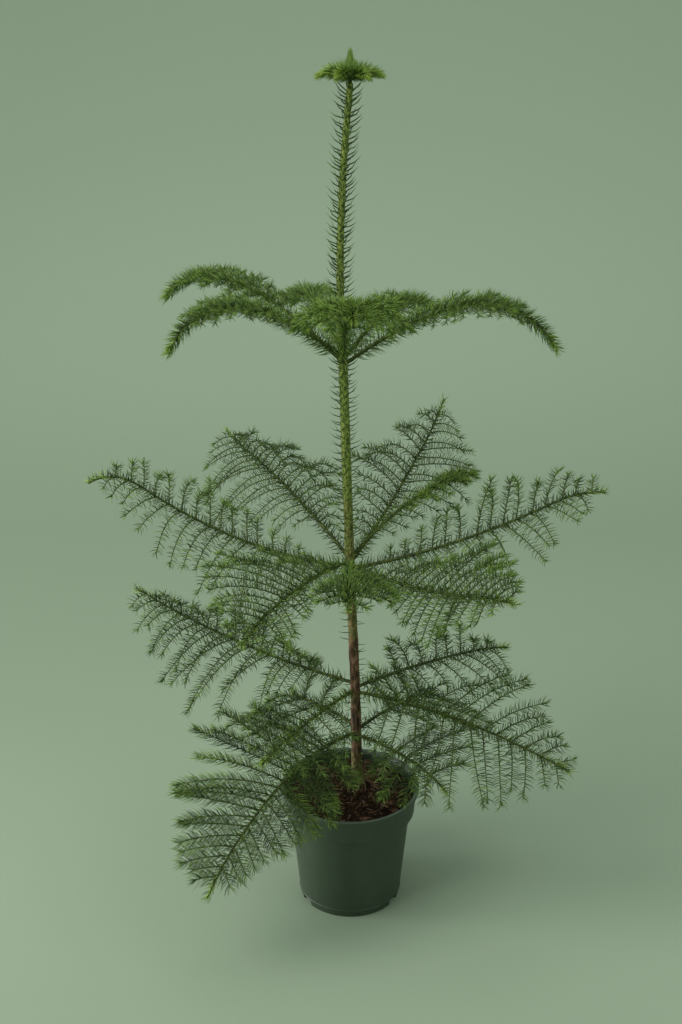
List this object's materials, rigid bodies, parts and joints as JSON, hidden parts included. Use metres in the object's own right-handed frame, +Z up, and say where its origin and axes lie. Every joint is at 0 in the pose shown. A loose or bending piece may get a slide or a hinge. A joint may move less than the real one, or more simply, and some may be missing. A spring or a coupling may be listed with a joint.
{
  "type": "potted norfolk island pine",
  "caption": "Young Norfolk Island pine in a round plastic nursery pot: a slender trunk with tiers of drooping, feathery needle fronds and a long bare-stemmed leader.",
  "frame": {"origin": "middle of the pot's flat underside", "axes": "+Z up along the pot's axis, -Y towards the side that the picture shows"},
  "size_m": [0.394, 0.2885, 0.6827],
  "materials": {
    "pot": "matt moulded, dark green",
    "soil": "loose peat and bark mix, red-brown",
    "bark": "thin brown bark, green on the leader",
    "bough": "dark green young bark",
    "needles": "soft waxy needles, mid to dark green"
  },
  "bodies": {
    "root": {"bough_whorl1_back_left": "bough", "bough_whorl1_back_right": "bough", "bough_whorl1_front": "bough", "bough_whorl1_left_back": "bough", "bough_whorl1_left_front": "bough", "bough_whorl1_right": "bough", "bough_whorl2_back_left": "bough", "bough_whorl2_back_right": "bough", "bough_whorl2_between": "bough", "bough_whorl2_front": "bough", "bough_whorl2_front_left": "bough", "bough_whorl2_front_right": "bough", "bough_whorl2_left": "bough", "bough_whorl2_right": "bough", "bough_whorl3_front_left": "bough", "bough_whorl3_left": "bough", "bough_whorl3_right_back": "bough", "bough_whorl3_right_front": "bough", "bough_whorl4_back_left": "bough", "bough_whorl4_back_right": "bough", "bough_whorl4_left_front": "bough", "bough_whorl4_right": "bough", "needles_whorl1_back_left": "needles", "needles_whorl1_back_right": "needles", "needles_whorl1_front": "needles", "needles_whorl1_left_back": "needles", "needles_whorl1_left_front": "needles", "needles_whorl1_right": "needles", "needles_whorl2_back_left": "needles", "needles_whorl2_back_right": "needles", "needles_whorl2_between": "needles", "needles_whorl2_front": "needles", "needles_whorl2_front_left": "needles", "needles_whorl2_front_right": "needles", "needles_whorl2_left": "needles", "needles_whorl2_right": "needles", "needles_whorl3_front_left": "needles", "needles_whorl3_left": "needles", "needles_whorl3_right_back": "needles", "needles_whorl3_right_front": "needles", "needles_whorl4_back_left": "needles", "needles_whorl4_back_right": "needles", "needles_whorl4_left_front": "needles", "needles_whorl4_right": "needles", "pot": "pot", "soil": "soil", "top_tuft": "needles", "trunk": "bark"}
  },
  "joints": []
}
